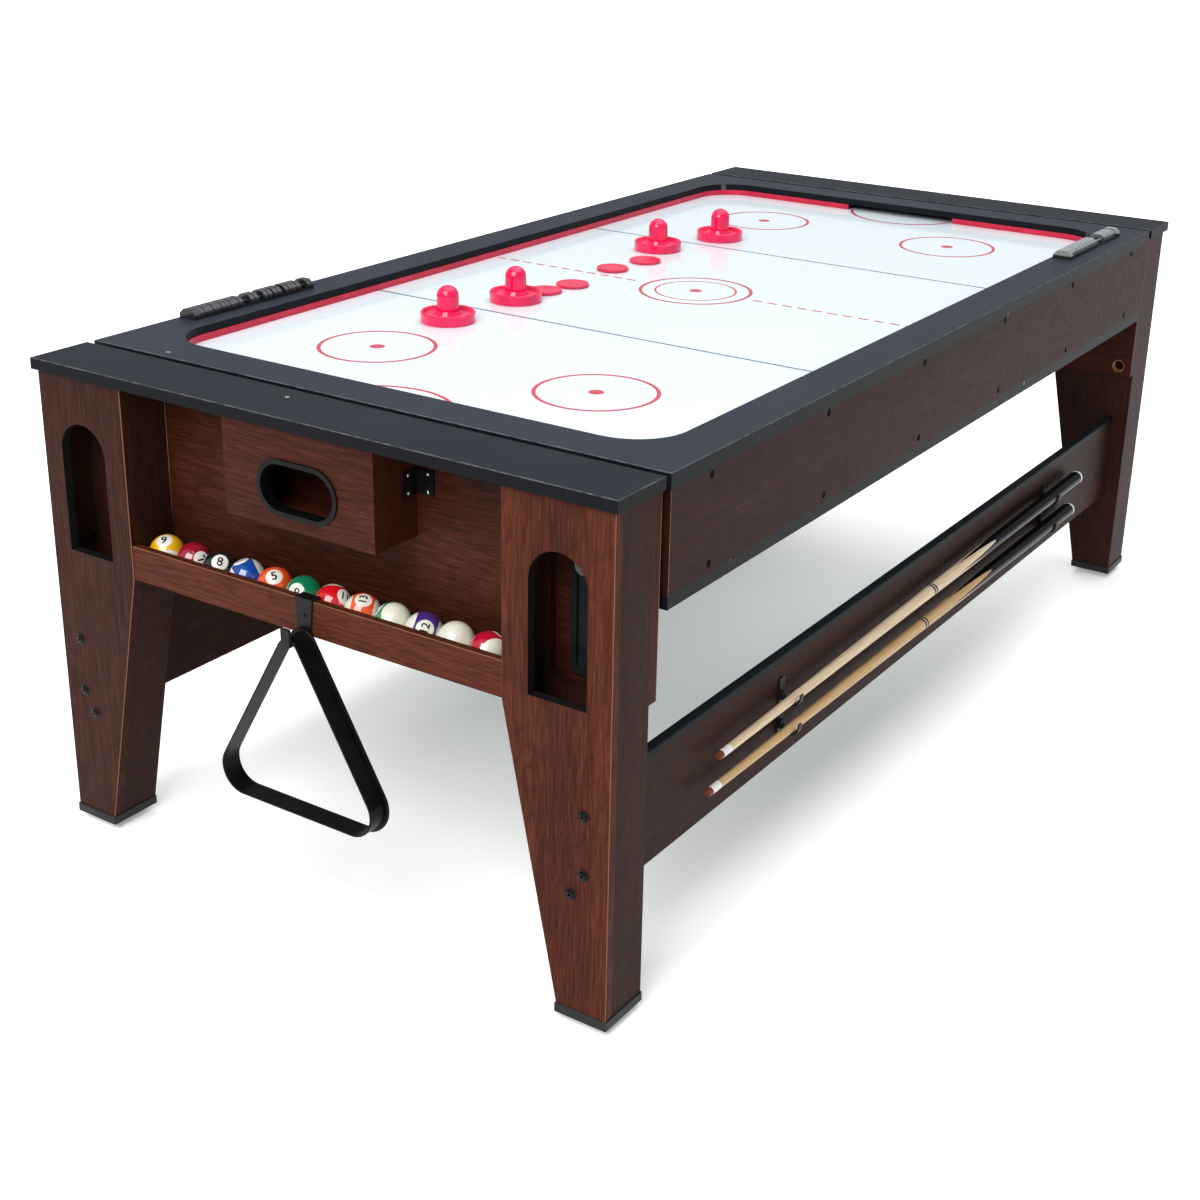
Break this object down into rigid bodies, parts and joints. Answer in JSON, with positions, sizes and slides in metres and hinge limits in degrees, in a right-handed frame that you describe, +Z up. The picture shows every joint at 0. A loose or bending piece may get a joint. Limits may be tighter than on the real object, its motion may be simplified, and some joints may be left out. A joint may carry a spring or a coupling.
{
  "type": "flip-over games table",
  "caption": "Flip-over games table: air hockey on top, pool underneath, two leg frames, ball tray, ball rack, cues and score keepers.",
  "frame": {"origin": "on the floor under the middle of the whole outline, ball rack hook included", "axes": "+Z up, Y along the table with the ball-tray end at -Y, +X towards the side that carries the cues"},
  "size_m": [1.112, 2.2786, 0.8681],
  "materials": {
    "front_laminate": "satin figured cherry laminate",
    "leg_laminate": "satin walnut laminate",
    "panel_laminate": "satin figured cherry laminate, grain across",
    "tray_lining": "matt dark board",
    "side_laminate": "satin walnut laminate",
    "cap_black": "satin black laminate",
    "rail_black": "satin black laminate",
    "inlet_black": "moulded black",
    "foot_plastic": "moulded black",
    "trim_black": "gloss black",
    "bracket_black": "black powder coat",
    "hook_black": "black powder coat",
    "holder_black": "moulded black",
    "lock_black": "moulded black",
    "bolt_dark": "blackened steel",
    "pivot_steel": "zinc plated",
    "leveller_black": "moulded black pad on a plated stem",
    "pin_steel": "plated pin with a moulded knob",
    "rack_plastic": "moulded black",
    "ball_resin": "polished resin, coloured solids and stripes",
    "cue_maple": "varnished maple shaft, black butt",
    "playfield": "gloss white with printed lines",
    "bumper_red": "red",
    "chamber_board": "raw board",
    "blower_plastic": "moulded black",
    "fan_plastic": "moulded dark grey",
    "cloth": "napped cloth",
    "cushion_cloth": "napped cloth over rubber",
    "pocket_plastic": "moulded black",
    "scorer_base": "black base, plated rods",
    "scorer_bead": "ribbed counters",
    "striker_red": "moulded red",
    "puck_red": "moulded red"
  },
  "bodies": {
    "frame": {"leg_near_right_front": "front_laminate", "leg_near_right_shell": "leg_laminate", "leg_near_left_front": "front_laminate", "leg_near_left_shell": "leg_laminate", "leg_far_left_front": "front_laminate", "leg_far_left_shell": "leg_laminate", "leg_far_right_front": "front_laminate", "leg_far_right_shell": "leg_laminate", "foot_caps": "foot_plastic", "end_caps": "cap_black", "end_panel_near": "panel_laminate", "end_panel_far": "panel_laminate", "stretchers": "side_laminate", "leg_bolts": "bolt_dark", "goal_box_near": "panel_laminate", "goal_box_far": "panel_laminate", "goal_trims": "trim_black", "corner_brackets": "bracket_black", "tray_front": "panel_laminate", "tray_floor": "tray_lining", "rack_bracket": "hook_black", "cue_holders": "holder_black", "pivot_bearings": "pivot_steel", "lock_housings": "lock_black"},
    "cabinet": {"cabinet_sides": "side_laminate", "cabinet_ends": "side_laminate", "hockey_rail": "rail_black", "hockey_bed": "playfield", "bumper_band": "bumper_red", "air_chamber": "chamber_board", "blower_housing": "blower_plastic", "pool_rail": "rail_black", "pool_bed": "cloth", "cushions": "cushion_cloth", "pockets": "pocket_plastic", "pivots": "pivot_steel", "power_inlet": "inlet_black", "scorer_racks": "scorer_base"},
    "leveller_near_right": {"leveller_near_right": "leveller_black"},
    "leveller_near_left": {"leveller_near_left": "leveller_black"},
    "leveller_far_left": {"leveller_far_left": "leveller_black"},
    "leveller_far_right": {"leveller_far_right": "leveller_black"},
    "lock_pin_near": {"lock_pin_near": "pin_steel"},
    "lock_pin_far": {"lock_pin_far": "pin_steel"},
    "triangle_rack": {"triangle_rack": "rack_plastic"},
    "pool_balls": {"pool_balls": "ball_resin"},
    "cue_upper": {"cue_upper": "cue_maple"},
    "cue_lower": {"cue_lower": "cue_maple"},
    "blower_fan": {"blower_fan": "fan_plastic"},
    "fan_switch": {"fan_switch": "inlet_black"},
    "scorer_beads_left": {"scorer_beads_left": "scorer_bead"},
    "scorer_beads_right": {"scorer_beads_right": "scorer_bead"},
    "pusher_1": {"pusher_1": "striker_red"},
    "pusher_2": {"pusher_2": "striker_red"},
    "pusher_3": {"pusher_3": "striker_red"},
    "pusher_4": {"pusher_4": "striker_red"},
    "puck_1": {"puck_1": "puck_red"},
    "puck_2": {"puck_2": "puck_red"},
    "puck_3": {"puck_3": "puck_red"},
    "puck_4": {"puck_4": "puck_red"}
  },
  "joints": [
    {"name": "table_flip", "type": "hinge", "parent": "frame", "child": "cabinet", "pos_m": [0, 0.01825, 0.728], "axis": [0, 1, 0], "range_deg": [0, 180]},
    {"name": "leveller_near_right_screw", "type": "slide", "parent": "frame", "child": "leveller_near_right", "axis": [0, 0, -1], "range_m": [0, 0.015]},
    {"name": "leveller_near_left_screw", "type": "slide", "parent": "frame", "child": "leveller_near_left", "axis": [0, 0, -1], "range_m": [0, 0.015]},
    {"name": "leveller_far_left_screw", "type": "slide", "parent": "frame", "child": "leveller_far_left", "axis": [0, 0, -1], "range_m": [0, 0.015]},
    {"name": "leveller_far_right_screw", "type": "slide", "parent": "frame", "child": "leveller_far_right", "axis": [0, 0, -1], "range_m": [0, 0.015]},
    {"name": "lock_pin_near_slide", "type": "slide", "parent": "frame", "child": "lock_pin_near", "axis": [0, 1, 0], "range_m": [0, 0.028]},
    {"name": "lock_pin_far_slide", "type": "slide", "parent": "frame", "child": "lock_pin_far", "axis": [0, -1, 0], "range_m": [0, 0.028]},
    {"name": "rack_lift_off", "type": "slide", "parent": "frame", "child": "triangle_rack", "axis": [0, 0, 1], "range_m": [0, 0.04]},
    {"name": "balls_lift_out", "type": "slide", "parent": "frame", "child": "pool_balls", "axis": [0, 0, 1], "range_m": [0, 0.08]},
    {"name": "cue_upper_lift_out", "type": "slide", "parent": "frame", "child": "cue_upper", "axis": [0, 0, 1], "range_m": [0, 0.06]},
    {"name": "cue_lower_lift_out", "type": "slide", "parent": "frame", "child": "cue_lower", "axis": [0, 0, 1], "range_m": [0, 0.02]},
    {"name": "fan_spin", "type": "hinge", "parent": "cabinet", "child": "blower_fan", "pos_m": [0, 0.01825, 0.7], "axis": [0, 0, 1], "continuous": true},
    {"name": "fan_switch_rock", "type": "hinge", "parent": "cabinet", "child": "fan_switch", "pos_m": [-0.549, 0.70925, 0.728], "axis": [0, 0, 1], "range_deg": [0, 16]},
    {"name": "score_slide_left", "type": "slide", "parent": "cabinet", "child": "scorer_beads_left", "axis": [0, 1, 0], "range_m": [0, 0.0165]},
    {"name": "score_slide_right", "type": "slide", "parent": "cabinet", "child": "scorer_beads_right", "axis": [0, 1, 0], "range_m": [0, 0.0175]},
    {"name": "pusher_1_glide", "type": "slide", "parent": "cabinet", "child": "pusher_1", "axis": [1, 0, 0], "range_m": [-0.192, 0.656]},
    {"name": "pusher_2_glide", "type": "slide", "parent": "cabinet", "child": "pusher_2", "axis": [1, 0, 0], "range_m": [-0.198, 0.65]},
    {"name": "pusher_3_glide", "type": "slide", "parent": "cabinet", "child": "pusher_3", "axis": [1, 0, 0], "range_m": [-0.173, 0.675]},
    {"name": "pusher_4_glide", "type": "slide", "parent": "cabinet", "child": "pusher_4", "axis": [1, 0, 0], "range_m": [-0.221, 0.627]},
    {"name": "puck_1_glide", "type": "slide", "parent": "cabinet", "child": "puck_1", "axis": [1, 0, 0], "range_m": [-0.221, 0.661]},
    {"name": "puck_2_glide", "type": "slide", "parent": "cabinet", "child": "puck_2", "axis": [1, 0, 0], "range_m": [-0.233, 0.649]},
    {"name": "puck_3_glide", "type": "slide", "parent": "cabinet", "child": "puck_3", "axis": [1, 0, 0], "range_m": [-0.219, 0.663]},
    {"name": "puck_4_glide", "type": "slide", "parent": "cabinet", "child": "puck_4", "axis": [1, 0, 0], "range_m": [-0.232, 0.65]}
  ]
}
